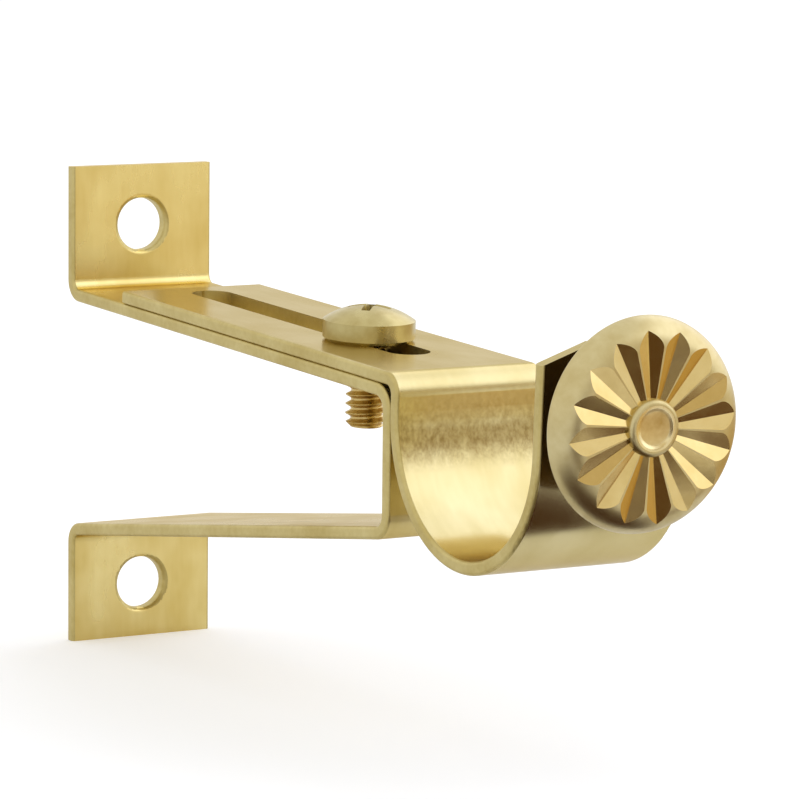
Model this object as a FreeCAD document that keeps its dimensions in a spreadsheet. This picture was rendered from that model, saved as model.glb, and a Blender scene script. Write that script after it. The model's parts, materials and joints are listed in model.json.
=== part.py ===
import FreeCAD, Part
import math
import os
import Sketcher

# Adjustable curtain pole bracket, folded from flat brass strip, in millimetres.
# Origin: on the wall plane, midway between the two wall screws. +Z is up, the
# bracket reaches out from the wall along -Y, and X runs along the pole.

App = FreeCAD
doc = FreeCAD.newDocument("curtain_pole_bracket")

# Driving dimensions

DIMENSIONS = [
    # the strip that both folded pieces are cut from
    ("strip_width", 19.05),
    ("strip_thickness", 1.5),
    ("edge_round", 0.4),
    # wall bracket
    ("wall_hole_spacing", 44.45),
    ("wall_hole_dia", 6.35),
    ("wall_hole_roll", 0.6),
    ("top_hole_margin", 7.3),
    ("bottom_hole_margin", 6.6),
    ("top_arm_height", 14.8),
    ("top_arm_slope", 2.63),
    ("bottom_arm_drop", 15.86),
    ("bottom_arm_slope", 7.66),
    ("arm_reach", 76.5),
    ("flange_bend", 1.1),
    ("web_bend", 1.5),
    # pole cradle
    ("pole_seat_dia", 27.1),
    ("seat_drop", 2.69),
    ("cradle_run", 62.4),
    ("cradle_bend", 1.0),
    ("cradle_stop_gap", 0.1),
    ("slot_rear_margin", 2.6),
    ("slot_front_margin", 9.6),
    ("slot_width", 5.0),
    ("limb_shoulder", 9.6),
    ("limb_crown", 11.7),
    ("crown_flat", 6.8),
    # adjusting screw
    ("screw_dia", 4.83),
    ("screw_setback", 20.5),
    ("screw_reach", 9.9),
    ("screw_tip_chamfer", 0.6),
    ("head_dia", 10.5),
    ("head_band", 2.3),
    ("head_height", 4.0),
    ("head_foot_round", 0.35),
    ("recess_span", 5.0),
    ("recess_wing", 1.1),
    ("recess_depth", 1.9),
    ("recess_taper", 10.0),
    ("recess_turn", 48.0),
    ("thread_clearance", 0.05),
    # thumb screw: a stud riveted into a fluted rosette
    ("stud_dia", 4.83),
    ("clamp_height", 3.7),
    ("stud_tip_recess", 0.1),
    ("stud_tip_chamfer", 0.5),
    ("stud_dish", 0.15),
    ("rosette_gap", 3.6),
    ("rosette_dia", 22.9),
    ("rosette_back_dia", 20.9),
    ("rosette_rim_level", 0.78),
    ("rosette_rim_round", 0.4),
    ("rosette_face_level", 3.45),
    ("rosette_dome_radius", 3.0),
    ("rosette_dish_level", 2.75),
    ("rosette_turn", 5.8),
    ("flute_count", 16),
    ("flute_land", 0.28),
    ("flute_tip_level", 2.9),
    ("flute_tip_dia", 20.4),
    ("boss_dia", 6.1),
    ("boss_rise", 0.8),
    ("boss_round", 0.55),
]

sheet = doc.addObject("Spreadsheet::Sheet", "Dims")
for row, (alias, value) in enumerate(DIMENSIONS, start=1):
    sheet.set("A%d" % row, alias)
    sheet.set("B%d" % row, str(value))
    sheet.setAlias("B%d" % row, alias)
doc.recompute()


def measure(expression):
    """Number that an expression of the sheet's cells has now."""
    value = sheet.evalExpression(expression)
    return float(getattr(value, "Value", value))


# Lengths that several pieces share, as expressions of the cells

THICK = "Dims.strip_thickness"
SLOPE = "(Dims.top_arm_slope * 1 deg)"
RISE = "(Dims.bottom_arm_slope * 1 deg)"
SEAT_IN = "(Dims.pole_seat_dia / 2)"
SEAT_OUT = "(Dims.pole_seat_dia / 2 + Dims.strip_thickness)"
FLANGE_TOP = "(Dims.wall_hole_spacing / 2 + Dims.top_hole_margin)"
FLANGE_FOOT = "(-Dims.wall_hole_spacing / 2 - Dims.bottom_hole_margin)"
SEAT_REACH = "(Dims.arm_reach + Dims.cradle_stop_gap + %s)" % SEAT_OUT
SEAT_LEVEL = "(Dims.top_arm_height - (Dims.seat_drop + %s * sin(%s)) / cos(%s))" % (SEAT_REACH, SLOPE, SLOPE)
SCREW_REACH = "(Dims.arm_reach - Dims.screw_setback * cos(%s))" % SLOPE
SCREW_LEVEL = "(Dims.top_arm_height - %s * tan(%s))" % (SCREW_REACH, SLOPE)


# Helpers

def new_body(label):
    body = doc.addObject("PartDesign::Body", label)
    body.Label = label
    return body


def origin_plane(body, role):
    for feature in body.Origin.OriginFeatures:
        if feature.Role == role:
            return feature
    raise ValueError(role)


def new_sketch(body, name, role, offset=None, turn=None, turn_axis=(1, 0, 0)):
    """Sketch on an origin plane. offset holds x, y, z expressions, and turn an angle's expression."""
    sketch = body.newObject("Sketcher::SketchObject", name)
    sketch.AttachmentSupport = [(origin_plane(body, role), "")]
    sketch.MapMode = "FlatFace"
    if turn is not None:
        sketch.AttachmentOffset = App.Placement(App.Vector(), App.Rotation(App.Vector(*turn_axis), 1.0))
        sketch.setExpression("AttachmentOffset.Rotation.Angle", turn)
    if offset is not None:
        for axis, expression in zip("xyz", offset):
            sketch.setExpression("AttachmentOffset.Base.%s" % axis, expression)
    doc.recompute()
    return sketch


def pin(sketch, geometry, end, name, across=None, up=None):
    """Ties one point of the sketch to the sheet, across and up from the sketch's origin."""
    for kind, suffix, expression in (("DistanceX", "across", across), ("DistanceY", "up", up)):
        if expression is None:
            continue
        index = sketch.addConstraint(Sketcher.Constraint(kind, -1, 1, geometry, end, measure(expression)))
        sketch.renameConstraint(index, "%s_%s" % (name, suffix))
        sketch.setExpression("Constraints.%s_%s" % (name, suffix), expression)


def closed_outline(sketch, corners):
    """Closed outline through the corners, each (name, across, up) in expressions.

    A fourth entry makes the way to the next corner an arc: (radius, 1) turns left on its way,
    (radius, -1) turns right, and radius None stands for a half circle between level corners.
    """
    points = [App.Vector(measure(corner[1]), measure(corner[2]), 0) for corner in corners]
    count = len(points)
    ends = []
    for i, corner in enumerate(corners):
        start, end = points[i], points[(i + 1) % count]
        if len(corner) == 3:
            sketch.addGeometry(Part.LineSegment(start, end), False)
            ends.append((1, 2))
            continue
        radius, side = corner[3]
        half = (end - start).Length / 2
        reach = half if radius is None else measure(radius)
        left = App.Vector(start.y - end.y, end.x - start.x, 0).normalize()
        centre = (start + end) * 0.5 + left * (side * math.sqrt(max(reach ** 2 - half ** 2, 0)))
        first, last = (start, end) if side > 0 else (end, start)
        turn_from = math.atan2(first.y - centre.y, first.x - centre.x)
        turn_to = math.atan2(last.y - centre.y, last.x - centre.x)
        if turn_to <= turn_from + 1e-9:
            turn_to += 2 * math.pi
        whole = Part.Circle(centre, App.Vector(0, 0, 1), reach)
        sketch.addGeometry(Part.ArcOfCircle(whole, turn_from, turn_to), False)
        ends.append((1, 2) if side > 0 else (2, 1))
    for i in range(count):
        j = (i + 1) % count
        sketch.addConstraint(Sketcher.Constraint("Coincident", i, ends[i][1], j, ends[j][0]))
    for i, corner in enumerate(corners):
        pin(sketch, i, ends[i][0], *corner[:3])
        if len(corner) == 3:
            continue
        radius = corner[3][0]
        if radius is None:
            pin(sketch, i, 3, corner[0] + "_centre", up=corner[2])
        else:
            index = sketch.addConstraint(Sketcher.Constraint("Radius", i, measure(radius)))
            sketch.renameConstraint(index, corner[0] + "_radius")
            sketch.setExpression("Constraints.%s_radius" % corner[0], radius)
    doc.recompute()


def circle(sketch, name, across, up, diameter):
    centre = App.Vector(measure(across), measure(up), 0)
    index = sketch.addGeometry(Part.Circle(centre, App.Vector(0, 0, 1), measure(diameter) / 2), False)
    pin(sketch, index, 3, name, across, up)
    size = sketch.addConstraint(Sketcher.Constraint("Diameter", index, measure(diameter)))
    sketch.renameConstraint(size, name + "_diameter")
    sketch.setExpression("Constraints.%s_diameter" % name, diameter)
    doc.recompute()


def pad_across(body, sketch, width):
    """Pad to both sides of the sketch."""
    pad = body.newObject("PartDesign::Pad", body.Label + "_strip")
    pad.Profile = sketch
    pad.SideType = "Symmetric"
    pad.setExpression("Length", width)
    doc.recompute()
    return pad


def pocket(body, sketch, name, depth, both_sides=False, backwards=False, taper=None):
    """Pocket that has to take something away."""
    before = body.Shape.Volume
    cut = body.newObject("PartDesign::Pocket", name)
    cut.Profile = sketch
    cut.SideType = "Symmetric" if both_sides else "One side"
    cut.Reversed = backwards
    cut.setExpression("Length", depth)
    if taper is not None:
        cut.setExpression("TaperAngle", taper)
    doc.recompute()
    if not body.Shape.Volume < before - 1e-3:
        raise ValueError(name + " cuts nothing")
    return cut


def edges_where(shape, test):
    return ["Edge%d" % i for i, edge in enumerate(shape.Edges, start=1) if test(edge)]


def round_edges(body, name, test, radius):
    """Fillet of the edges of the body's tip that pass the test."""
    base = body.Tip
    names = edges_where(base.Shape, test)
    if not names:
        raise ValueError(name + " finds no edge")
    fillet = body.newObject("PartDesign::Fillet", name)
    fillet.Base = (base, names)
    fillet.setExpression("Radius", radius)
    doc.recompute()
    return fillet


def runs_across(edge, across, up):
    """True for the straight edge along X that passes through one corner of the folded profile."""
    box = edge.BoundBox
    near = abs(box.YMin - measure(across)) < 1e-3 and abs(box.ZMin - measure(up)) < 1e-3
    straight = box.YLength < 1e-3 and box.ZLength < 1e-3
    return near and straight and box.XLength > measure("Dims.strip_width") * 0.9


def on_strip_side(edge):
    """True for the long edges of the strip, on its two narrow sides, and not for its cut ends."""
    box = edge.BoundBox
    half = measure("Dims.strip_width / 2")
    flat = box.XLength < 1e-3 and abs(abs(box.XMin) - half) < 1e-3
    return flat and edge.Length > measure(THICK) * 1.02


def place(body, across, up, turn):
    """Puts the body's own origin at -across in Y and up in Z, turned about X."""
    body.Placement = App.Placement(App.Vector(), App.Rotation(App.Vector(1, 0, 0), 1.0))
    body.setExpression("Placement.Base.y", "-(%s)" % across)
    body.setExpression("Placement.Base.z", up)
    body.setExpression("Placement.Rotation.Angle", turn)
    doc.recompute()


# Wall bracket: one strip folded into a hat, with a flange above and below

wall = new_body("wall_bracket")
ARM_UNDER = "(Dims.top_arm_height - %s / cos(%s))" % (THICK, SLOPE)
ARM_ABOVE = "(-Dims.bottom_arm_drop + %s / cos(%s))" % (THICK, RISE)
WEB_BACK = "(Dims.arm_reach - %s)" % THICK
WALL_CORNERS = [
    ("flange_top_back", "0", FLANGE_TOP),
    ("flange_top_front", "-%s" % THICK, FLANGE_TOP),
    ("upper_fold_in", "-%s" % THICK, "Dims.top_arm_height - %s * tan(%s)" % (THICK, SLOPE)),
    ("web_top_out", "-Dims.arm_reach", "Dims.top_arm_height - Dims.arm_reach * tan(%s)" % SLOPE),
    ("web_foot_out", "-Dims.arm_reach", "-Dims.bottom_arm_drop + Dims.arm_reach * tan(%s)" % RISE),
    ("lower_fold_in", "-%s" % THICK, "-Dims.bottom_arm_drop + %s * tan(%s)" % (THICK, RISE)),
    ("flange_foot_front", "-%s" % THICK, FLANGE_FOOT),
    ("flange_foot_back", "0", FLANGE_FOOT),
    ("lower_fold_out", "0", ARM_ABOVE),
    ("web_foot_in", "-%s" % WEB_BACK, "%s + %s * tan(%s)" % (ARM_ABOVE, WEB_BACK, RISE)),
    ("web_top_in", "-%s" % WEB_BACK, "%s - %s * tan(%s)" % (ARM_UNDER, WEB_BACK, SLOPE)),
    ("upper_fold_out", "0", ARM_UNDER),
]
wall_profile = new_sketch(wall, "wall_profile", "YZ_Plane")
closed_outline(wall_profile, WALL_CORNERS)
pad_across(wall, wall_profile, "Dims.strip_width")
wall_place = {corner[0]: (corner[1], corner[2]) for corner in WALL_CORNERS}
for name, corners, radius in (
        ("flange_bends_inside", ("upper_fold_in", "lower_fold_in"), "Dims.flange_bend"),
        ("flange_bends_outside", ("upper_fold_out", "lower_fold_out"), "Dims.flange_bend + %s" % THICK),
        ("web_bends_inside", ("web_top_in", "web_foot_in"), "Dims.web_bend"),
        ("web_bends_outside", ("web_top_out", "web_foot_out"), "Dims.web_bend + %s" % THICK)):
    round_edges(wall, name, lambda edge: any(runs_across(edge, *wall_place[c]) for c in corners), radius)
round_edges(wall, "wall_strip_edges", on_strip_side, "Dims.edge_round")

wall_holes = new_sketch(wall, "wall_holes", "XZ_Plane")
circle(wall_holes, "upper_hole", "0", "Dims.wall_hole_spacing / 2", "Dims.wall_hole_dia")
circle(wall_holes, "lower_hole", "0", "-Dims.wall_hole_spacing / 2", "Dims.wall_hole_dia")
pocket(wall, wall_holes, "wall_hole_cut", "4 * %s" % THICK, both_sides=True)


def hole_front_rim(edge):
    box = edge.BoundBox
    flat = box.YLength < 1e-3 and abs(box.YMin + measure(THICK)) < 1e-3
    return flat and abs(box.XLength - measure("Dims.wall_hole_dia")) < 1e-2 and box.ZLength > 1


round_edges(wall, "wall_hole_rolled_rims", hole_front_rim, "Dims.wall_hole_roll")
tapped = new_sketch(wall, "tapped_hole", "XY_Plane", ("0", "-%s" % SCREW_REACH, SCREW_LEVEL), SLOPE)
circle(tapped, "tapping", "0", "0", "Dims.screw_dia + 2 * Dims.thread_clearance")
pocket(wall, tapped, "tapped_hole_cut", "4 * %s" % THICK, both_sides=True)

# Pole cradle, about the centre of the pole seat, with the strip's run level

cradle = new_body("pole_cradle")
RUN_TOP = "(Dims.seat_drop + %s)" % THICK
RUN_END = "(%s + Dims.cradle_run)" % SEAT_OUT
CRADLE_CORNERS = [
    ("run_end_under", RUN_END, "Dims.seat_drop"),
    ("run_end_over", RUN_END, RUN_TOP),
    ("fold_out", SEAT_IN, RUN_TOP),
    ("seat_in_back", SEAT_IN, "0", (None, -1)),
    ("seat_in_front", "-%s" % SEAT_IN, "0"),
    ("limb_top_in", "-%s" % SEAT_IN, "Dims.limb_crown"),
    ("limb_top_out", "-%s" % SEAT_OUT, "Dims.limb_crown"),
    ("seat_out_front", "-%s" % SEAT_OUT, "0", (None, 1)),
    ("seat_out_back", SEAT_OUT, "0"),
    ("fold_in", SEAT_OUT, "Dims.seat_drop"),
]
cradle_profile = new_sketch(cradle, "cradle_profile", "YZ_Plane")
closed_outline(cradle_profile, CRADLE_CORNERS)
pad_across(cradle, cradle_profile, "Dims.strip_width")
cradle_place = {corner[0]: (corner[1], corner[2]) for corner in CRADLE_CORNERS}
round_edges(cradle, "cradle_bend_inside", lambda edge: runs_across(edge, *cradle_place["fold_in"]),
            "Dims.cradle_bend")
round_edges(cradle, "cradle_bend_outside", lambda edge: runs_across(edge, *cradle_place["fold_out"]),
            "Dims.cradle_bend + %s" % THICK)
round_edges(cradle, "cradle_strip_edges", on_strip_side, "Dims.edge_round")

# the front limb's two top corners are cropped, and the flat between them is left
HALF = "(Dims.strip_width / 2)"
for side, sign in (("left", "-"), ("right", "")):
    crop = new_sketch(cradle, "limb_crop_" + side, "XZ_Plane")
    closed_outline(crop, [
        ("shoulder", "%s%s" % (sign, HALF), "Dims.limb_shoulder"),
        ("crown", "%s(Dims.crown_flat / 2)" % sign, "Dims.limb_crown"),
        ("above_crown", "%s(Dims.crown_flat / 2)" % sign, "Dims.limb_crown + %s" % THICK),
        ("above_side", "%s(%s + %s)" % (sign, HALF, THICK), "Dims.limb_crown + %s" % THICK),
        ("beside", "%s(%s + %s)" % (sign, HALF, THICK), "Dims.limb_shoulder"),
    ])
    pocket(cradle, crop, "limb_crop_cut_" + side, "4 * %s" % SEAT_OUT, both_sides=True)

# the slot that the adjusting screw runs in
SLOT_BACK = "(%s - Dims.slot_rear_margin - Dims.slot_width / 2)" % RUN_END
SLOT_FRONT = "(%s + Dims.slot_front_margin + Dims.slot_width / 2)" % SEAT_OUT
SLOT_HALF = "(Dims.slot_width / 2)"
slot = new_sketch(cradle, "slot_outline", "XY_Plane", ("0", "0", "Dims.seat_drop"))
closed_outline(slot, [
    ("right_front", SLOT_HALF, SLOT_FRONT),
    ("right_back", SLOT_HALF, SLOT_BACK, (None, 1)),
    ("left_back", "-%s" % SLOT_HALF, SLOT_BACK),
    ("left_front", "-%s" % SLOT_HALF, SLOT_FRONT, (None, 1)),
])
pocket(cradle, slot, "slot_cut", "4 * %s" % THICK, both_sides=True)

# the tapped hole that the thumb screw's stud turns in
clamp_hole = new_sketch(cradle, "clamp_hole", "XZ_Plane", ("0", "0", "%s + %s / 2" % (SEAT_IN, THICK)))
circle(clamp_hole, "clamp", "0", "Dims.clamp_height", "Dims.stud_dia + 2 * Dims.thread_clearance")
pocket(cradle, clamp_hole, "clamp_hole_cut", "2 * %s" % THICK, both_sides=True)
place(cradle, SEAT_REACH, SEAT_LEVEL, SLOPE)


def turned(body, sketch, name):
    """Full turn of the sketch about the body's Z axis."""
    turn = body.newObject("PartDesign::Revolution", name)
    turn.Profile = sketch
    turn.ReferenceAxis = (sketch, ["V_Axis"])
    turn.Angle = 360
    doc.recompute()
    return turn


# Adjusting screw: pan head over the cradle's slot, shank tapped into the top arm.
# Its own Z starts at the arm's upper face and points up through the head.

screw = new_body("adjusting_screw")
HEAD_R = "(Dims.head_dia / 2)"
SCREW_R = "(Dims.screw_dia / 2)"
HEAD_TOP = "(%s + Dims.head_height)" % THICK
SCREW_TIP = "(%s - Dims.screw_reach)" % THICK
BAND_TOP = "(%s + Dims.head_band)" % THICK
DOME_RISE = "(Dims.head_height - Dims.head_band)"
DOME_R = "((%s ^ 2 + %s ^ 2) / (2 * %s))" % (HEAD_R, DOME_RISE, DOME_RISE)
screw_profile = new_sketch(screw, "screw_profile", "XZ_Plane")
closed_outline(screw_profile, [
    ("tip_middle", "0", SCREW_TIP),
    ("tip_edge", "%s - Dims.screw_tip_chamfer" % SCREW_R, SCREW_TIP),
    ("tip_shoulder", SCREW_R, "%s + Dims.screw_tip_chamfer" % SCREW_TIP),
    ("under_head", SCREW_R, THICK),
    ("head_foot", "%s - Dims.head_foot_round" % HEAD_R, THICK),
    ("head_side", HEAD_R, "%s + Dims.head_foot_round" % THICK),
    ("head_shoulder", HEAD_R, BAND_TOP, (DOME_R, 1)),
    ("head_top", "0", HEAD_TOP),
])
turned(screw, screw_profile, "screw_turned")

# the cross recess in the head
recess = new_sketch(screw, "cross_recess", "XY_Plane", ("0", "0", HEAD_TOP), "Dims.recess_turn", (0, 0, 1))
WING = "(Dims.recess_wing / 2)"
SPAN = "(Dims.recess_span / 2)"
CROSS = [(WING, WING), (SPAN, WING), (SPAN, "-" + WING), (WING, "-" + WING), (WING, "-" + SPAN),
         ("-" + WING, "-" + SPAN), ("-" + WING, "-" + WING), ("-" + SPAN, "-" + WING), ("-" + SPAN, WING),
         ("-" + WING, WING), ("-" + WING, SPAN), (WING, SPAN)]
closed_outline(recess, [("cross_%d" % i, across, up) for i, (across, up) in enumerate(CROSS)])
pocket(screw, recess, "recess_cut", "Dims.recess_depth", taper="-Dims.recess_taper")
place(screw, SCREW_REACH, SCREW_LEVEL, SLOPE)

# Rosette of the thumb screw. Its own Z starts at the disc's back and points out at the room.
# The small arc round the rim runs on without a corner into the back's bevel and the dome,
# and the face is dished towards a point on the axis, where all the flutes would meet.

rosette = new_body("thumb_rosette")
STUD_R = "(Dims.stud_dia / 2)"
RIM_R = "(Dims.rosette_dia / 2)"
BACK_R = "(Dims.rosette_back_dia / 2)"
FACE = "Dims.rosette_face_level"
DISH = "Dims.rosette_dish_level"
RIM_ROUND = "Dims.rosette_rim_round"
RIM_LEVEL = "Dims.rosette_rim_level"
RIM_MIDDLE = "(%s - %s)" % (RIM_R, RIM_ROUND)
DOME_REACH = "(Dims.rosette_dome_radius - %s)" % RIM_ROUND
DOME_DROP = "(%s - (%s - Dims.rosette_dome_radius))" % (RIM_LEVEL, FACE)
DOME_SPAN = "sqrt(%s ^ 2 - %s ^ 2)" % (DOME_REACH, DOME_DROP)
FACE_R = "(%s - %s)" % (RIM_MIDDLE, DOME_SPAN)
LAND_RISE = "((%s - %s) / %s)" % (FACE, DISH, FACE_R)
BEVEL_IN = "(%s - %s)" % (RIM_MIDDLE, BACK_R)
BEVEL_FAR = "(%s ^ 2 + %s ^ 2)" % (BEVEL_IN, RIM_LEVEL)
BEVEL_RUN = "sqrt(%s - %s ^ 2)" % (BEVEL_FAR, RIM_ROUND)
rosette_profile = new_sketch(rosette, "rosette_profile", "XZ_Plane")
closed_outline(rosette_profile, [
    ("bore_back", STUD_R, "0"),
    ("back_edge", BACK_R, "0"),
    ("rim_under", "%s + %s * (%s * %s - %s * %s) / %s" % (
        RIM_MIDDLE, RIM_ROUND, BEVEL_RUN, RIM_LEVEL, RIM_ROUND, BEVEL_IN, BEVEL_FAR),
     "%s - %s * (%s * %s + %s * %s) / %s" % (
        RIM_LEVEL, RIM_ROUND, BEVEL_RUN, BEVEL_IN, RIM_ROUND, RIM_LEVEL, BEVEL_FAR), (RIM_ROUND, 1)),
    ("rim_over", "%s + %s * %s / %s" % (RIM_MIDDLE, RIM_ROUND, DOME_SPAN, DOME_REACH),
     "%s + %s * %s / %s" % (RIM_LEVEL, RIM_ROUND, DOME_DROP, DOME_REACH), ("Dims.rosette_dome_radius", 1)),
    ("face_edge", FACE_R, FACE),
    ("bore_front", STUD_R, "%s + %s * %s" % (DISH, LAND_RISE, STUD_R)),
])
turned(rosette, rosette_profile, "rosette_turned")

# One flute is a V whose two faces meet on the axis at the dish's level. Its floor is nearly
# level and runs out of the dome in a point. A narrow land is left between two flutes.
FLUTE_TURN = "(180 deg / Dims.flute_count - atan(Dims.flute_land / 2 / %s))" % FACE_R
FLOOR_RISE = "((Dims.flute_tip_level - %s) / (Dims.flute_tip_dia / 2))" % DISH
FLUTE_SLOPE = "((%s / cos(%s) - %s) / tan(%s))" % (LAND_RISE, FLUTE_TURN, FLOOR_RISE, FLUTE_TURN)
CUT_TOP = "(%s + %s / 4)" % (FACE, THICK)
flute_sections = []
for name, radius in (("inner", "(%s / 2)" % STUD_R), ("outer", "(%s + %s)" % (RIM_R, THICK))):
    section = new_sketch(
        rosette, "flute_" + name, "XZ_Plane",
        ("%s * sin(Dims.rosette_turn * 1 deg)" % radius, "0", "%s * cos(Dims.rosette_turn * 1 deg)" % radius),
        "Dims.rosette_turn", (0, 1, 0))
    floor = "(%s + %s * %s)" % (DISH, FLOOR_RISE, radius)
    half = "((%s - %s) / %s)" % (CUT_TOP, floor, FLUTE_SLOPE)
    closed_outline(section, [("floor", "0", floor), ("right", half, CUT_TOP), ("left", "-" + half, CUT_TOP)])
    flute_sections.append(section)
flute = rosette.newObject("PartDesign::SubtractiveLoft", "flute")
flute.Profile = flute_sections[0]
flute.Sections = [flute_sections[1]]
flute.Ruled = True
doc.recompute()
flutes = rosette.newObject("PartDesign::PolarPattern", "flutes")
flutes.Originals = [flute]
flutes.Axis = (rosette_profile, ["V_Axis"])
flutes.Angle = 360
flutes.setExpression("Occurrences", "Dims.flute_count")
rosette.Tip = flutes
doc.recompute()

# the collar in the middle of the flutes, closed around the stud
BOSS_R = "(Dims.boss_dia / 2)"
BOSS_TOP = "(%s + Dims.boss_rise)" % DISH
boss_profile = new_sketch(rosette, "boss_profile", "XZ_Plane")
closed_outline(boss_profile, [
    ("boss_foot_in", STUD_R, "%s / 2" % DISH),
    ("boss_foot_out", BOSS_R, "%s / 2" % DISH),
    ("boss_side", BOSS_R, "%s - Dims.boss_round" % BOSS_TOP, ("Dims.boss_round", 1)),
    ("boss_edge", "%s - Dims.boss_round" % BOSS_R, BOSS_TOP),
    ("boss_bore", STUD_R, BOSS_TOP),
])
turned(rosette, boss_profile, "boss_turned")
ROSETTE_OUT = "(%s + Dims.rosette_gap)" % SEAT_OUT
ROSETTE_REACH = "(%s + %s * cos(%s) + Dims.clamp_height * sin(%s))" % (SEAT_REACH, ROSETTE_OUT, SLOPE, SLOPE)
ROSETTE_LEVEL = "(%s - %s * sin(%s) + Dims.clamp_height * cos(%s))" % (SEAT_LEVEL, ROSETTE_OUT, SLOPE, SLOPE)
place(rosette, ROSETTE_REACH, ROSETTE_LEVEL, "90 deg + %s" % SLOPE)

# Stud of the thumb screw, in the rosette's own frame: its tip stays just inside the
# front limb, and its outer end is riveted flush with the collar.

stud = new_body("clamp_stud")
STUD_TIP = "-(%s + Dims.rosette_gap - Dims.stud_tip_recess)" % THICK
STUD_DISH_R = "((%s ^ 2 + Dims.stud_dish ^ 2) / (2 * Dims.stud_dish))" % STUD_R
stud_profile = new_sketch(stud, "stud_profile", "XZ_Plane")
closed_outline(stud_profile, [
    ("tip_middle", "0", STUD_TIP),
    ("tip_edge", "%s - Dims.stud_tip_chamfer" % STUD_R, STUD_TIP),
    ("tip_shoulder", STUD_R, "%s + Dims.stud_tip_chamfer" % STUD_TIP),
    ("riveted_edge", STUD_R, BOSS_TOP, (STUD_DISH_R, -1)),
    ("riveted_middle", "0", "%s - Dims.stud_dish" % BOSS_TOP),
])
turned(stud, stud_profile, "stud_turned")
place(stud, ROSETTE_REACH, ROSETTE_LEVEL, "90 deg + %s" % SLOPE)

# Checks, then one file for each piece

doc.recompute()
for item in doc.Objects:
    if "Invalid" in item.State or "Error" in item.State:
        raise ValueError("%s: %s" % (item.Name, item.State))
pieces = [wall, cradle, screw, rosette, stud]
for piece in pieces:
    for item in [piece] + [member for member in piece.Group if hasattr(member, "Shape")]:
        if item.Shape.isNull() or not item.Shape.isValid():
            raise ValueError("%s has no valid shape" % item.Name)
    if len(piece.Shape.Solids) != 1:
        raise ValueError("%s has %d solids" % (piece.Label, len(piece.Shape.Solids)))

os.makedirs("parts", exist_ok=True)
for piece in pieces:
    piece.Shape.exportStep("parts/%s.step" % piece.Label)
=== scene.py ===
import json
import math

import bmesh
import bpy
from mathutils import Matrix, Vector


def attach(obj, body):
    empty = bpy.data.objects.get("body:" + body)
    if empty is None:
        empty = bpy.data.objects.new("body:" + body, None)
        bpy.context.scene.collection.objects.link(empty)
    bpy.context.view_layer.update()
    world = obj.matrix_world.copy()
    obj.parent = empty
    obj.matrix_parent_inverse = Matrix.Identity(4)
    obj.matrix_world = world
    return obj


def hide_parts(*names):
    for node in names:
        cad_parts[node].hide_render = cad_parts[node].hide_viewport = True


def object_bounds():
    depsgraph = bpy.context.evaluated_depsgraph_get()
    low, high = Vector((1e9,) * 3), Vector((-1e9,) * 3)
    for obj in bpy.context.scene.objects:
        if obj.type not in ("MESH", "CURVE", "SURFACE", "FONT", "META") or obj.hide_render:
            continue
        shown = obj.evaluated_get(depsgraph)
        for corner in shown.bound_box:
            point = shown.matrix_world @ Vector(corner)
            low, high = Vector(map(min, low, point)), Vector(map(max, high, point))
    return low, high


# Adjustable brass bracket for a curtain pole, with its finish, threads and studio.

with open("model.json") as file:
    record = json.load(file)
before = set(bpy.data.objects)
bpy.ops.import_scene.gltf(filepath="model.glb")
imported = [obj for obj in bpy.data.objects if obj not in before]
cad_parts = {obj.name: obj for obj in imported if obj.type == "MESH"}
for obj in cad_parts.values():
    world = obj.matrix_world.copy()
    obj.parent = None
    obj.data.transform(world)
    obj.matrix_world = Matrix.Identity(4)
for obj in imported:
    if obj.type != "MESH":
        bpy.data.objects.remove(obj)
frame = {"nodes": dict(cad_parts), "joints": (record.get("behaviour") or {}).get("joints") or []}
cad_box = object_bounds()
MM = 0.001
MICRON = 0.000001

# Places that follow the frame

JOINTS = {joint["name"]: joint for joint in frame["joints"]}
SCREW_PLACE = Vector(JOINTS["adjusting_screw_turn"]["pos_m"])
SCREW_AXIS = Vector(JOINTS["adjusting_screw_turn"]["axis"]).normalized()
STUD_PLACE = Vector(JOINTS["thumb_screw_turn"]["pos_m"])
STUD_AXIS = Vector(JOINTS["thumb_screw_turn"]["axis"]).normalized()

# Both threads: 24 turns to the inch, with a narrow crest

THREAD_R = 4.83 * MM / 2
THREAD_PITCH = 25.4 * MM / 24
THREAD_DEPTH = 0.6 * MM
THREAD_CREST = 0.12
THREAD_FLANK = 0.32
ROWS_A_PITCH = 20
SIDES_ROUND = 72
OVERLAP = 0.01 * MM

# Levels along each screw's own axis, from its joint's place

STRIP_THICK = 1.5 * MM
SCREW_TIP = STRIP_THICK - 9.9 * MM
SCREW_THREAD_TOP = STRIP_THICK + 0.05 * MM
SCREW_CHAMFER = 0.6 * MM
STUD_TIP = -5.0 * MM
STUD_CHAMFER = 0.5 * MM
RIVET_TOP = 3.55 * MM
RIVET_DISH = 0.15 * MM
LIP_R = 2.15 * MM
LIP_INSIDE = 0.84
LIP_STEP = 0.09 * MM
RIVET_RINGS = (0.985, 0.94, 0.9, 0.885, 0.87, 0.85, 0.83, 0.81, 0.79, 0.77, 0.755, 0.74, 0.7, 0.55, 0.4, 0.2, 0.08)

# Node helpers


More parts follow.
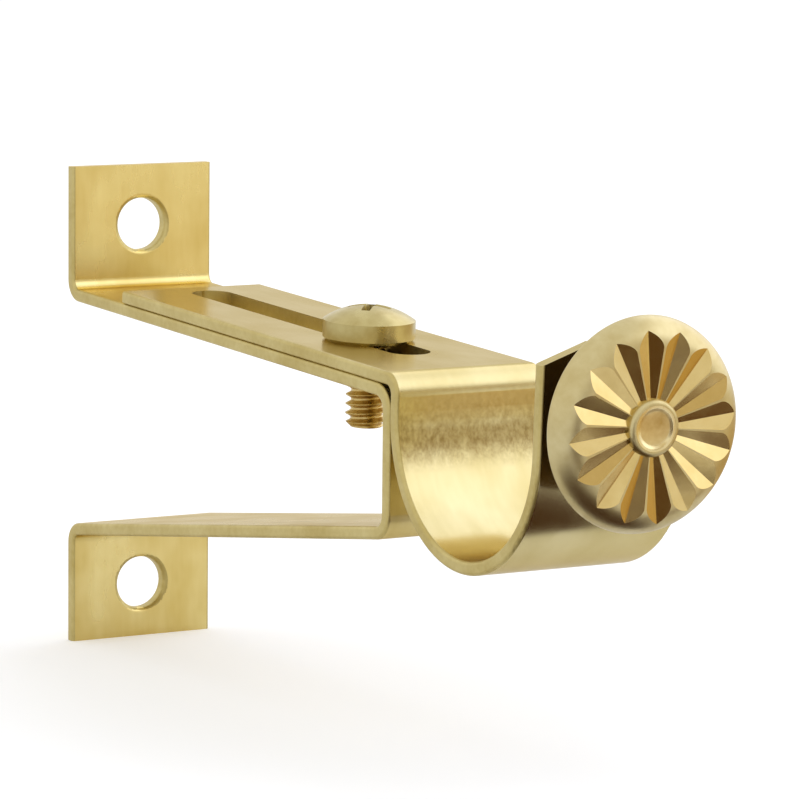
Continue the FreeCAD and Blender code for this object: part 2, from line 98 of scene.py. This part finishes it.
class Nodes:
    """A material's nodes, with short calls for the ones that the finishes use."""

    def __init__(self, tree):
        self.tree = tree
        tree.nodes.clear()

    def add(self, kind, **values):
        node = self.tree.nodes.new(kind)
        for name, value in values.items():
            setattr(node, name, value)
        return node

    def link(self, start, end):
        self.tree.links.new(start, end)

    def place(self, scale):
        """Object coordinates, stretched by scale in X, Y and Z."""
        coordinates = self.add("ShaderNodeTexCoord")
        mapping = self.add("ShaderNodeMapping")
        mapping.inputs["Scale"].default_value = scale
        self.link(coordinates.outputs["Object"], mapping.inputs["Vector"])
        return mapping.outputs["Vector"]

    def noise(self, scale, detail, roughness):
        """Noise of scale cycles per metre along X, Y and Z."""
        vector = self.place(scale)
        node = self.add("ShaderNodeTexNoise")
        node.inputs["Scale"].default_value = 1.0
        node.inputs["Detail"].default_value = detail
        node.inputs["Roughness"].default_value = roughness
        self.link(vector, node.inputs["Vector"])
        return node.outputs["Fac"]

    def spread(self, value, low, high, end=1.0):
        """Value from low to high, mapped to 0 to end and held there."""
        node = self.add("ShaderNodeMapRange")
        for socket, number in zip(("From Min", "From Max", "To Min", "To Max"), (low, high, 0.0, end)):
            node.inputs[socket].default_value = number
        self.link(value, node.inputs["Value"])
        return node.outputs["Result"]

    def band(self, axis, low, high, below, above):
        """1 where the object's coordinate lies from low to high, falling to 0 over below and above."""
        parts = self.add("ShaderNodeSeparateXYZ")
        self.link(self.place((1, 1, 1)), parts.inputs[0])
        return self.combine("MULTIPLY", self.spread(parts.outputs[axis], low - below, low),
                            self.spread(parts.outputs[axis], high + above, high))

    def away(self, middle):
        """Distance from the line along Y through middle."""
        across = self.place((1, 0, 1))
        node = self.add("ShaderNodeVectorMath", operation="DISTANCE")
        self.link(across, node.inputs[0])
        node.inputs[1].default_value = (middle[0], 0, middle[2])
        return node.outputs["Value"]

    def combine(self, operation, first, second):
        node = self.add("ShaderNodeMath", operation=operation)
        for socket, value in zip(node.inputs, (first, second)):
            if isinstance(value, (int, float)):
                socket.default_value = value
            else:
                self.link(value, socket)
        return node.outputs[0]

    def blend(self, factor, first, second):
        node = self.add("ShaderNodeMix", data_type="RGBA")
        self.link(factor, node.inputs["Factor"])
        for socket, value in ((node.inputs[6], first), (node.inputs[7], second)):
            if isinstance(value, tuple):
                socket.default_value = (*value, 1.0)
            else:
                self.link(value, socket)
        return node.outputs[2]


def linear(red, green, blue):
    """A colour written in the 0 to 255 steps of a screen, as the shader wants it."""
    return tuple(((c / 255 + 0.055) / 1.055) ** 2.4 if c > 10 else c / 255 / 12.92 for c in (red, green, blue))


# Brass finishes

WORN_SPECKS = (1500, 1100, 1100)
WORN_BROWN = linear(152, 126, 70)
# Brighter golds of the painted highlight on the flanges and their bends
HIGHLIGHT_GOLD_LIGHT = linear(246, 229, 162)
HIGHLIGHT_GOLD_DARK = linear(220, 195, 115)
# Share of the painted highlight on a round end's lip
LIP_HIGHLIGHT_TONE = 0.9


def brass(name, light, dark, grain, clouds, roughness, relief, brushed=0.3, edge=(1.0, 1.0, 1.0),
          worn=None, painted_highlight=None, lip=None):
    """Satin brass: a brushed grain and slow clouds shift its colour, its gloss and its surface.

    light and dark are written in a screen's steps, grain and clouds in cycles per metre along X,
    Y and Z. relief is the grain's depth in metres, roughness is (smoothest, roughest), brushed
    is the grain's share in the tone, and edge tints what it reflects at a low angle. worn is a
    rubbed patch, as a band along Y and another along Z. painted_highlight is a band along Y of
    brighter gold, a painted highlight. lip is (middle, radius) of a round end, with a painted
    highlight on its lip.
    """
    material = bpy.data.materials.new(name)
    material.use_nodes = True
    nodes = Nodes(material.node_tree)
    shader = nodes.add("ShaderNodeBsdfPrincipled")
    shader.inputs["Metallic"].default_value = 1.0
    shader.inputs["Specular Tint"].default_value = (*edge, 1.0)
    output = nodes.add("ShaderNodeOutputMaterial")
    nodes.link(shader.outputs[0], output.inputs["Surface"])
    streaks = nodes.noise(grain, detail=4.0, roughness=0.6)
    cloud = nodes.noise(clouds, detail=3.0, roughness=0.55)
    tone = nodes.combine("ADD", nodes.spread(cloud, 0.3, 0.7, end=1.0 - brushed),
                         nodes.spread(streaks, 0.35, 0.65, end=brushed))
    if lip:
        middle, radius = lip
        # Painted highlight: the lip ring round the dish is drawn lighter than the dish.
        raised = nodes.spread(nodes.away(middle), radius * LIP_INSIDE, radius)
        tone = nodes.combine("ADD", tone, nodes.combine("MULTIPLY", raised, LIP_HIGHLIGHT_TONE))
    colour = nodes.blend(tone, linear(*dark), linear(*light))
    # Painted highlight: the flanges and their bends are blended towards a brighter gold that stands in for a
    # brighter reflection.
    if painted_highlight:
        colour = nodes.blend(nodes.band("Y", *painted_highlight), colour, nodes.blend(tone, HIGHLIGHT_GOLD_DARK, HIGHLIGHT_GOLD_LIGHT))
    if worn:
        rubbed = nodes.combine("MULTIPLY", nodes.band("Y", *worn[0]), nodes.band("Z", *worn[1]))
        specks = nodes.spread(nodes.noise(WORN_SPECKS, detail=5.0, roughness=0.7), 0.34, 0.76)
        colour = nodes.blend(nodes.combine("MULTIPLY", rubbed, specks), colour, WORN_BROWN)
    nodes.link(colour, shader.inputs["Base Color"])
    gloss = nodes.combine("MULTIPLY", tone, roughness[0] - roughness[1])
    nodes.link(nodes.combine("ADD", gloss, roughness[1]), shader.inputs["Roughness"])
    bump = nodes.add("ShaderNodeBump")
    bump.inputs["Strength"].default_value = 1.0
    bump.inputs["Distance"].default_value = 1.0
    nodes.link(nodes.combine("MULTIPLY", streaks, relief), bump.inputs["Height"])
    nodes.link(bump.outputs[0], shader.inputs["Normal"])
    return material


# Band along Y over the flanges and their bends, where the painted highlight of brighter gold goes
FLANGE_HIGHLIGHT_BAND = (-0.0025, 0.001, 0.0025, 0.001)
SEAT_BAND_Y = (-0.09, -0.0779, 0.001, 0.0004)
SEAT_BAND_Z = (0.0044, 0.0064, 0.0025, 0.0055)
STRIP = dict(grain=(1300, 160, 160), clouds=(120, 80, 80), relief=0.1 * MICRON, brushed=0.1, edge=(0.8, 0.72, 0.56))

STRIP_FACE = brass("strip_face", (230, 214, 158), (202, 180, 110), roughness=(0.24, 0.34), painted_highlight=FLANGE_HIGHLIGHT_BAND, **STRIP)
CRADLE_FACE = brass("cradle_face", (222, 209, 160), (205, 188, 128), roughness=(0.18, 0.28),
                    worn=(SEAT_BAND_Y, SEAT_BAND_Z), **STRIP)
STRIP_EDGE = brass("strip_edge", (208, 192, 132), (186, 166, 100), (900, 1400, 1400), (120, 120, 120),
                   (0.34, 0.46), 1.5 * MICRON)
ROSETTE_SATIN = brass("rosette_satin", (214, 200, 152), (192, 173, 118), (700, 700, 700), (140, 140, 140),
                      (0.3, 0.42), 2 * MICRON)
ROSETTE_CUT = brass("rosette_cut", (220, 196, 134), (204, 176, 108), (600, 600, 600), (160, 160, 160),
                    (0.13, 0.22), 6 * MICRON)
# Painted shade: the rosette's back faces the bracket's limb and is drawn dark brown, so the limb mirrors it dark.
ROSETTE_BACK_SHADE = brass("rosette_back_shade", (116, 92, 50), (88, 64, 30), (700, 700, 700), (140, 140, 140),
                     (0.4, 0.5), 3 * MICRON)
RIVET = brass("rivet_face", (228, 210, 158), (188, 156, 92), (900, 900, 900), (300, 300, 300),
              (0.26, 0.38), 6 * MICRON, lip=(STUD_PLACE, LIP_R))
SCREW_HEAD = brass("screw_head_finish", (206, 192, 136), (176, 158, 100), (800, 800, 800), (220, 220, 220),
                   (0.24, 0.36), 3 * MICRON)
SCREW_THREAD = brass("screw_thread_finish", (222, 200, 136), (176, 144, 82), (900, 900, 900), (300, 300, 300),
                     (0.2, 0.32), 3 * MICRON)


def paint(obj, finishes, choose):
    """Gives each face of obj the finish that choose names for its middle and normal."""
    obj.data.materials.clear()
    names = list(finishes)
    for name in names:
        obj.data.materials.append(finishes[name])
    for polygon in obj.data.polygons:
        polygon.material_index = names.index(choose(polygon.center, polygon.normal))


EDGE_LEAN = 0.12


def paint_strip(obj, face):
    """Rolled faces, and the sheared edges on the strip's two narrow sides."""
    paint(obj, {"face": face, "edge": STRIP_EDGE},
          lambda place, normal: "edge" if abs(normal.x) > EDGE_LEAN else "face")


ROSETTE_RIM_LEVEL = 1.0 * MM
BACK_LEAN = -0.5
FLUTE_LEAN = 0.06


def paint_rosette(obj):
    """Bright-cut flutes in a satin disc, with a rough back in painted shade."""

    def choose(place, normal):
        arm = place - STUD_PLACE
        height = arm.dot(STUD_AXIS)
        if height < ROSETTE_RIM_LEVEL and normal.dot(STUD_AXIS) < BACK_LEAN:
            return "back"
        across = arm - STUD_AXIS * height
        side = STUD_AXIS.cross(across).normalized()
        return "cut" if height > ROSETTE_RIM_LEVEL and abs(normal.dot(side)) > FLUTE_LEAN else "satin"

    paint(obj, {"satin": ROSETTE_SATIN, "cut": ROSETTE_CUT, "back": ROSETTE_BACK_SHADE}, choose)


# Threaded pieces

def upright(axis, place):
    """Matrix that stands a piece, made along its own Z, on place along axis."""
    side = Vector((1, 0, 0))
    front = axis.cross(side).normalized()
    rotation = Matrix((side, front, axis)).transposed().to_4x4()
    return Matrix.Translation(place) @ rotation


def add_rings(mesh, rings):
    """Closed skin over rings of (radius, level) points round Z, from the lowest ring to the last."""
    turns = [2 * math.pi * step / SIDES_ROUND for step in range(SIDES_ROUND)]
    rings = [[mesh.verts.new((radius * math.cos(turn), radius * math.sin(turn), level))
              for turn, (radius, level) in zip(turns, ring)] for ring in rings]
    for lower, upper in zip(rings, rings[1:]):
        for step in range(SIDES_ROUND):
            follow = (step + 1) % SIDES_ROUND
            mesh.faces.new((lower[step], lower[follow], upper[follow], upper[step]))
    mesh.faces.new(list(reversed(rings[0])))
    mesh.faces.new(rings[-1])


def thread_radius(share):
    """Radius over one pitch, by the share of the way up it: a crest, a flank, a root, a flank."""
    if share < THREAD_CREST:
        return THREAD_R
    if share < THREAD_CREST + THREAD_FLANK:
        return THREAD_R - THREAD_DEPTH * (share - THREAD_CREST) / THREAD_FLANK
    if share < 1 - THREAD_FLANK:
        return THREAD_R - THREAD_DEPTH
    return THREAD_R - THREAD_DEPTH * (1 - share) / THREAD_FLANK


def add_thread(mesh, low, high, chamfer):
    """Right-hand thread from low up to high along Z, with a chamfer at its low end."""
    rows = math.ceil((high - low) / THREAD_PITCH * ROWS_A_PITCH)
    rings = []
    for row in range(rows + 1):
        level = low + (high - low) * row / rows
        chamfered = THREAD_R - chamfer + (level - low)
        rings.append([(min(thread_radius((level / THREAD_PITCH - step / SIDES_ROUND) % 1.0), chamfered), level)
                      for step in range(SIDES_ROUND)])
    add_rings(mesh, rings)


def add_riveted_end(mesh, foot):
    """The stud's shank from foot up, and its spread end: a raised lip round a shallow dish."""
    outline = [(THREAD_R, foot), (THREAD_R, RIVET_TOP)]
    for share in RIVET_RINGS:
        radius = THREAD_R * share
        sunk = min(max((LIP_R - radius) / (LIP_R * (1 - LIP_INSIDE)), 0), 1)
        outline.append((radius, RIVET_TOP - RIVET_DISH * (1 - share ** 2) - LIP_STEP * sunk))
    add_rings(mesh, [[point] * SIDES_ROUND for point in outline])


def keep_cad_above(mesh, node, stand, level):
    """The CAD node's own shape above level, closed underneath."""
    mesh.from_mesh(frame["nodes"][node].data)
    bmesh.ops.transform(mesh, matrix=stand.inverted(), verts=mesh.verts)
    bmesh.ops.bisect_plane(mesh, geom=mesh.verts[:] + mesh.edges[:] + mesh.faces[:], dist=0.1 * MICRON,
                           plane_co=(0, 0, level), plane_no=(0, 0, 1), clear_inner=True)
    bmesh.ops.holes_fill(mesh, edges=[edge for edge in mesh.edges if edge.is_boundary], sides=0)


def threaded(name, node, place, axis, low, high, chamfer, body, finishes):
    """A real thread from low up to high, and from there up the node's own plain end."""
    mesh = bmesh.new()
    stand = upright(axis, place)
    if node == "clamp_stud":
        add_riveted_end(mesh, high - OVERLAP)
    else:
        keep_cad_above(mesh, node, stand, STRIP_THICK - OVERLAP)
    add_thread(mesh, low, high, chamfer)
    bmesh.ops.transform(mesh, matrix=stand, verts=mesh.verts)
    data = bpy.data.meshes.new(name)
    mesh.to_mesh(data)
    mesh.free()
    piece = bpy.data.objects.new(name, data)
    bpy.context.scene.collection.objects.link(piece)
    data.shade_smooth()
    data.set_sharp_from_angle(angle=math.radians(28))
    paint(piece, finishes,
          lambda middle, normal: "plain" if (middle - place).dot(axis) > high - 1 * MICRON else "thread")
    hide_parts(node)
    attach(piece, body)


paint_strip(frame["nodes"]["wall_bracket"], STRIP_FACE)
paint_strip(frame["nodes"]["pole_cradle"], CRADLE_FACE)
paint_rosette(frame["nodes"]["thumb_rosette"])
threaded("adjusting_screw_threaded", "adjusting_screw", SCREW_PLACE, SCREW_AXIS, SCREW_TIP, SCREW_THREAD_TOP,
         SCREW_CHAMFER, "adjusting_screw", {"plain": SCREW_HEAD, "thread": SCREW_THREAD})
threaded("clamp_stud_threaded", "clamp_stud", STUD_PLACE, STUD_AXIS, STUD_TIP, 0.0,
         STUD_CHAMFER, "thumb_screw", {"plain": RIVET, "thread": SCREW_THREAD})


# Studio

FLOOR_LEVEL = cad_box[0].z
FLOOR_REACH = 6.0
FLOOR_GLOW = 0.22
CARD_LIFT = 0.5 * MM
CARD_DISTANCE = 1.0
WORLD_LEVEL = 0.85
DARK_BROWN = (100, 66, 22)
BROWN = (94, 66, 28)
FOOT_BROWN = (70, 40, 6)


def plate(name, corners, colour, seen):
    """Matt flat stage piece through four corners in metres, shown to the brass alone unless seen."""
    data = bpy.data.meshes.new(name)
    data.from_pydata([Vector(corner) for corner in corners], [], [(0, 1, 2, 3)])
    card = bpy.data.objects.new(name, data)
    bpy.context.scene.collection.objects.link(card)
    material = bpy.data.materials.new(name + "_finish")
    material.use_nodes = True
    shader = material.node_tree.nodes["Principled BSDF"]
    shader.inputs["Base Color"].default_value = (*linear(*colour), 1.0)
    shader.inputs["Roughness"].default_value = 0.9
    shader.inputs["Specular IOR Level"].default_value = 0.0
    data.materials.append(material)
    if not seen:
        card.visible_camera = False
        card.visible_diffuse = False
        card.visible_shadow = False
    return card


def glow_to_camera(material, strength):
    """Lifts what the camera sees of a pale floor to the backdrop's white, and leaves the shadow on it."""
    tree = material.node_tree
    path = tree.nodes.new("ShaderNodeLightPath")
    level = tree.nodes.new("ShaderNodeMath")
    level.operation = "MULTIPLY"
    level.inputs[1].default_value = strength
    shader = tree.nodes["Principled BSDF"]
    shader.inputs["Emission Color"].default_value = (1, 1, 1, 1)
    tree.links.new(path.outputs["Is Camera Ray"], level.inputs[0])
    tree.links.new(level.outputs[0], shader.inputs["Emission Strength"])


def floor_card(name, outline, colour):
    """Card just over the floor, seen in the brass alone, through four (x, y) corners in metres."""
    plate(name, [(x, y, FLOOR_LEVEL + CARD_LIFT) for x, y in outline], colour, False)


def upright_card(name, azimuths, elevations, colour):
    """Card stood round the rosette, seen in the brass alone, between the given angles in degrees."""
    corners = []
    for azimuth, elevation in zip(azimuths + azimuths[::-1], (elevations[0],) * 2 + (elevations[1],) * 2):
        turn = math.radians(azimuth)
        rise = math.tan(math.radians(elevation))
        corners.append(STUD_PLACE + CARD_DISTANCE * Vector((math.sin(turn), -math.cos(turn), rise)))
    plate(name, corners, colour, False)


def softbox(name, place, aim, size, power, colour):
    """Area lamp of size (width, height) in metres and power in watts, turned to aim."""
    light = bpy.data.lights.new(name, "AREA")
    light.shape = "RECTANGLE"
    light.size, light.size_y = size
    light.energy = power
    light.color = colour
    lamp = bpy.data.objects.new(name, light)
    lamp.location = place
    lamp.rotation_mode = "QUATERNION"
    lamp.rotation_quaternion = (Vector(aim) - Vector(place)).to_track_quat("-Z", "Y")
    bpy.context.scene.collection.objects.link(lamp)


def white_world(strength):
    """World that lights at strength, and is plain white to the camera, in gloss and through glass."""
    world = bpy.data.worlds.new("studio")
    world.use_nodes = True
    nodes = Nodes(world.node_tree)
    path = nodes.add("ShaderNodeLightPath")
    seen = nodes.combine("MAXIMUM", path.outputs["Is Camera Ray"], path.outputs["Is Glossy Ray"])
    seen = nodes.combine("MAXIMUM", seen, path.outputs["Is Transmission Ray"])
    background = nodes.add("ShaderNodeBackground")
    background.inputs["Color"].default_value = (1, 1, 1, 1)
    level = nodes.combine("ADD", nodes.combine("MULTIPLY", seen, 1.0 - strength), strength)
    nodes.link(level, background.inputs["Strength"])
    output = nodes.add("ShaderNodeOutputWorld")
    nodes.link(background.outputs[0], output.inputs["Surface"])
    bpy.context.scene.world = world


FLOOR_CORNERS = [(-FLOOR_REACH, -FLOOR_REACH, FLOOR_LEVEL), (FLOOR_REACH, -FLOOR_REACH, FLOOR_LEVEL),
                 (FLOOR_REACH, FLOOR_REACH, FLOOR_LEVEL), (-FLOOR_REACH, FLOOR_REACH, FLOOR_LEVEL)]
floor = plate("studio_floor", FLOOR_CORNERS, (248, 248, 248), True)
glow_to_camera(floor.data.materials[0], FLOOR_GLOW)

# What the photo's brass mirrors, as cards at the places that its tones were traced back to

floor_card("brown_card_front", [(-0.12, -0.7), (0.03, -0.7), (0.006, -0.168), (-0.06, -0.168)], BROWN)
floor_card("brown_card_foot", [(-0.05, -0.15), (0.0245, -0.15), (0.0195, -0.107), (-0.05, -0.097)], FOOT_BROWN)
floor_card("brown_card_side", [(0.0245, -0.147), (0.067, -0.147), (0.06, -0.131), (0.03, -0.131)], DARK_BROWN)
floor_card("tan_card_side", [(0.068, -0.2), (0.5, -0.2), (0.5, 0.02), (0.068, 0.02)], (212, 180, 116))
floor_card("tan_card_cup", [(0.055, -0.37), (0.185, -0.37), (0.185, -0.201), (0.055, -0.201)], (216, 186, 124))
floor_card("pale_card_front", [(0.186, -0.65), (0.6, -0.65), (0.6, -0.201), (0.186, -0.201)], (252, 244, 212))
upright_card("brown_card_horizon", (-14.0, 0.5), (-12.0, 4.5), BROWN)
upright_card("grey_card_front", (8.0, 23.0), (10.0, 32.0), (228, 214, 184))
upright_card("grey_card_middle", (23.2, 37.0), (1.0, 18.0), (200, 180, 140))
white_world(WORLD_LEVEL)
softbox("side_softbox", place=(0.95, -0.18, 0.62), aim=(0, -0.1, 0.05), size=(2.2, 1.2), power=5.7,
        colour=(0.94, 0.98, 1.2))

# Camera: the photograph's own angle and distance, drawn closer

CAMERA_AZIMUTH = math.radians(-31.04)
CAMERA_ELEVATION = math.radians(7.39)
CAMERA_ROLL = math.radians(0.55)
CAMERA_AIM = Vector((2.2, -59.4, 7.1)) * MM
CAMERA_DISTANCE = 532.0 * MM
PHOTO_LENS = 121.46
CLOSER = 1.75
SENSOR_WIDTH = 36.0
NEAREST_SEEN = 0.05

back = Vector((math.sin(CAMERA_AZIMUTH) * math.cos(CAMERA_ELEVATION),
               -math.cos(CAMERA_AZIMUTH) * math.cos(CAMERA_ELEVATION), math.sin(CAMERA_ELEVATION)))
level_right = Vector((math.cos(CAMERA_AZIMUTH), math.sin(CAMERA_AZIMUTH), 0))
level_up = back.cross(level_right)
right = level_right * math.cos(CAMERA_ROLL) + level_up * math.sin(CAMERA_ROLL)
up = back.cross(right)
camera_turn = Matrix((right, up, back)).transposed().to_4x4()
camera = bpy.data.objects.new("camera", bpy.data.cameras.new("camera"))
camera.data.lens = PHOTO_LENS * CLOSER
camera.data.sensor_width = SENSOR_WIDTH
camera.data.clip_start = NEAREST_SEEN
camera.matrix_world = Matrix.Translation(CAMERA_AIM + back * CAMERA_DISTANCE) @ camera_turn
bpy.context.scene.collection.objects.link(camera)
bpy.context.scene.camera = camera
bpy.context.scene.view_settings.view_transform = "Standard"
